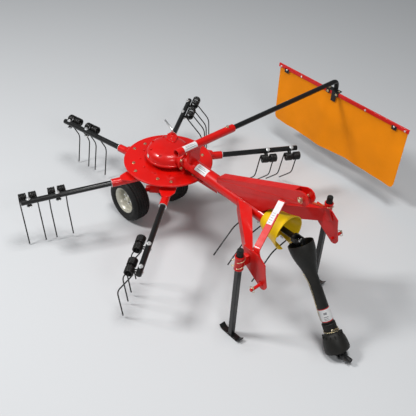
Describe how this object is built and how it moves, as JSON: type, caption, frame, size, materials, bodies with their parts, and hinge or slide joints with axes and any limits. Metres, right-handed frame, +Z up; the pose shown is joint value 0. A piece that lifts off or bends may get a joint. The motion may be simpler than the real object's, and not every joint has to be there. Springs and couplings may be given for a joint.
{
  "type": "rotary hay rake",
  "caption": "Three-point-mounted single-rotor hay rake with turning tine arms, side swath curtain, rotor wheels, parking stands and drive shaft.",
  "frame": {"origin": "on the ground under the middle of the machine's overall box, parked on its wheels and stands with the drive shaft's end on the ground", "axes": "+X forward to the tractor, +Y to the machine's left, the curtain side, +Z up"},
  "size_m": [3.0467, 2.6884, 1.1039],
  "materials": {
    "red_paint": "glossy red enamel",
    "black_paint": "satin black",
    "black_plastic": "matt black plastic",
    "yellow_plastic": "satin yellow plastic",
    "orange_cloth": "woven coated cloth",
    "rim_paint": "satin cream",
    "tyre_rubber": "matt ribbed rubber",
    "zinc": "yellow zinc plate"
  },
  "bodies": {
    "frame": {"gearbox": "red_paint", "rotor_column": "zinc", "beam_neck": "red_paint", "main_beam": "red_paint", "input_shaft": "black_paint", "input_yoke": "black_paint", "pto_guard": "yellow_plastic", "top_link_strut": "red_paint", "top_link_pin": "zinc", "height_crank": "zinc", "curtain_arm": "red_paint", "side_arm_right": "red_paint", "lower_hitch_plate_right": "red_paint", "lower_hitch_pin_right": "red_paint", "mast_strut_right": "red_paint", "stand_sleeve_right": "red_paint", "side_arm_left": "red_paint", "lower_hitch_plate_left": "red_paint", "lower_hitch_pin_left": "red_paint", "mast_strut_left": "red_paint", "stand_sleeve_left": "red_paint"},
    "rotor": {"rotor_disc": "red_paint", "rotor_hub": "red_paint", "arm_socket_1": "red_paint", "arm_socket_2": "red_paint", "arm_socket_3": "red_paint", "arm_socket_4": "red_paint", "arm_socket_5": "red_paint", "arm_socket_6": "red_paint"},
    "tine_arm_body_1": {"tine_arm_1": "black_paint"},
    "tine_arm_body_2": {"tine_arm_2": "black_paint"},
    "tine_arm_body_3": {"tine_arm_3": "black_paint"},
    "tine_arm_body_4": {"tine_arm_4": "black_paint"},
    "tine_arm_body_5": {"tine_arm_5": "black_paint"},
    "tine_arm_body_6": {"tine_arm_6": "black_paint"},
    "axle": {"axle_carrier": "red_paint"},
    "wheel_right": {"tyre_right": "tyre_rubber", "wheel_rim_right": "rim_paint"},
    "stand_right": {"stand_leg_right": "black_paint"},
    "wheel_left": {"tyre_left": "tyre_rubber", "wheel_rim_left": "rim_paint"},
    "stand_left": {"stand_leg_left": "black_paint"},
    "curtain_slide": {"curtain_slide_tube": "black_paint"},
    "curtain": {"curtain_rail": "red_paint", "curtain_cloth": "orange_cloth"},
    "upper_joint": {"upper_cross": "black_paint"},
    "shaft_outer": {"pto_outer_tube": "black_plastic"},
    "shaft_inner": {"pto_inner_tube": "black_plastic"},
    "lower_joint": {"lower_cross": "black_paint"},
    "tractor_end": {"tractor_yoke": "black_paint"}
  },
  "joints": [
    {"name": "rotor_spin", "type": "hinge", "parent": "frame", "child": "rotor", "pos_m": [-0.39091, -0.26876, 0.6], "axis": [0, 0, 1], "continuous": true},
    {"name": "tine_arm_1_turn", "type": "hinge", "parent": "rotor", "child": "tine_arm_body_1", "pos_m": [0.05663, -0.14307, 0.513], "axis": [0.989, 0.1284, -0.0732], "range_deg": [-10, 105]},
    {"name": "tine_arm_2_turn", "type": "hinge", "parent": "rotor", "child": "tine_arm_body_2", "pos_m": [-0.27599, 0.18166, 0.513], "axis": [0.3833, 0.9207, -0.0732], "range_deg": [-107, 8]},
    {"name": "tine_arm_3_turn", "type": "hinge", "parent": "rotor", "child": "tine_arm_body_3", "pos_m": [-0.72353, 0.05598, 0.513], "axis": [-0.6057, 0.7923, -0.0732], "range_deg": [-58, 57]},
    {"name": "tine_arm_4_turn", "type": "hinge", "parent": "rotor", "child": "tine_arm_body_4", "pos_m": [-0.83845, -0.39445, 0.513], "axis": [-0.989, -0.1284, -0.0732], "range_deg": [-72.5, 42.5]},
    {"name": "tine_arm_5_turn", "type": "hinge", "parent": "rotor", "child": "tine_arm_body_5", "pos_m": [-0.50583, -0.71918, 0.513], "axis": [-0.3833, -0.9207, -0.0732], "range_deg": [-76, 39]},
    {"name": "tine_arm_6_turn", "type": "hinge", "parent": "rotor", "child": "tine_arm_body_6", "pos_m": [-0.05829, -0.5935, 0.513], "axis": [0.6057, -0.7923, -0.0732], "range_deg": [-69, 46]},
    {"name": "height_adjust", "type": "slide", "parent": "frame", "child": "axle", "axis": [0, 0, 1], "range_m": [-0.06, 0.035]},
    {"name": "wheel_right_spin", "type": "hinge", "parent": "axle", "child": "wheel_right", "pos_m": [-0.61691, -0.47176, 0.185], "axis": [0, 1, 0], "continuous": true},
    {"name": "stand_right_slide", "type": "slide", "parent": "frame", "child": "stand_right", "axis": [0, 0, 1], "range_m": [0, 0.42]},
    {"name": "wheel_left_spin", "type": "hinge", "parent": "axle", "child": "wheel_left", "pos_m": [-0.61691, -0.06576, 0.185], "axis": [0, 1, 0], "continuous": true},
    {"name": "stand_left_slide", "type": "slide", "parent": "frame", "child": "stand_left", "axis": [0, 0, 1], "range_m": [0, 0.42]},
    {"name": "curtain_reach", "type": "slide", "parent": "frame", "child": "curtain_slide", "axis": [0, 1, 0], "range_m": [-0.26, 0.12]},
    {"name": "curtain_fore_aft", "type": "slide", "parent": "curtain_slide", "child": "curtain", "axis": [1, 0, 0], "range_m": [-0.25, 0.25]},
    {"name": "shaft_lift", "type": "hinge", "parent": "frame", "child": "upper_joint", "pos_m": [0.94409, -0.26876, 0.7], "axis": [0, -1, 0], "range_deg": [0, 54.7]},
    {"name": "shaft_swing", "type": "hinge", "parent": "upper_joint", "child": "shaft_outer", "pos_m": [0.94409, -0.26876, 0.7], "axis": [0.8161, 0, 0.5779], "range_deg": [-20, 20]},
    {"name": "shaft_telescope", "type": "slide", "parent": "shaft_outer", "child": "shaft_inner", "axis": [0.5779, 0, -0.8161], "range_m": [0, 0.1]},
    {"name": "end_tilt", "type": "hinge", "parent": "shaft_inner", "child": "lower_joint", "pos_m": [1.41331, -0.26876, 0.0373], "axis": [0, -1, 0], "range_deg": [-54.7, 0]},
    {"name": "end_swing", "type": "hinge", "parent": "lower_joint", "child": "tractor_end", "pos_m": [1.41331, -0.26876, 0.0373], "axis": [0, 0, 1], "range_deg": [-20, 20]}
  ]
}
